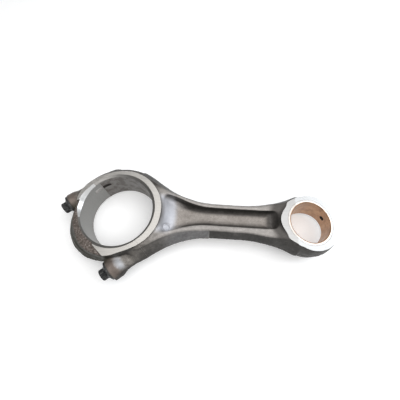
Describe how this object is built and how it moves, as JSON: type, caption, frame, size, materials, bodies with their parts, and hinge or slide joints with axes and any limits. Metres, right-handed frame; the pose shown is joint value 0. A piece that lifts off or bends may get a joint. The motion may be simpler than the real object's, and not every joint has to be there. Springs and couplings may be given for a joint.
{
  "type": "connecting rod",
  "caption": "Forged connecting rod with a bolted cap on an oblique-split big end, a long I-section shank and a tapered small end with a bronze pin bush.",
  "frame": {"origin": "centre of the big-end bore, on the mid-plane between the thrust faces", "axes": "+X from the big end to the small end, +Z along both bores, out of the face that is seen from above when the rod lies flat"},
  "size_m": [0.29, 0.122, 0.038],
  "materials": {
    "rod_forging": "as forged and shot blasted, with bright machined faces and bores",
    "cap_forging": "as forged and shot blasted, with bright machined faces and bore",
    "bush_bronze": "fine bored bronze",
    "bolt_black": "black oxide"
  },
  "bodies": {
    "root": {"rod_body": "rod_forging", "rod_cap": "cap_forging", "pin_bush": "bush_bronze", "bolt_upper": "bolt_black", "bolt_lower": "bolt_black"}
  },
  "joints": []
}
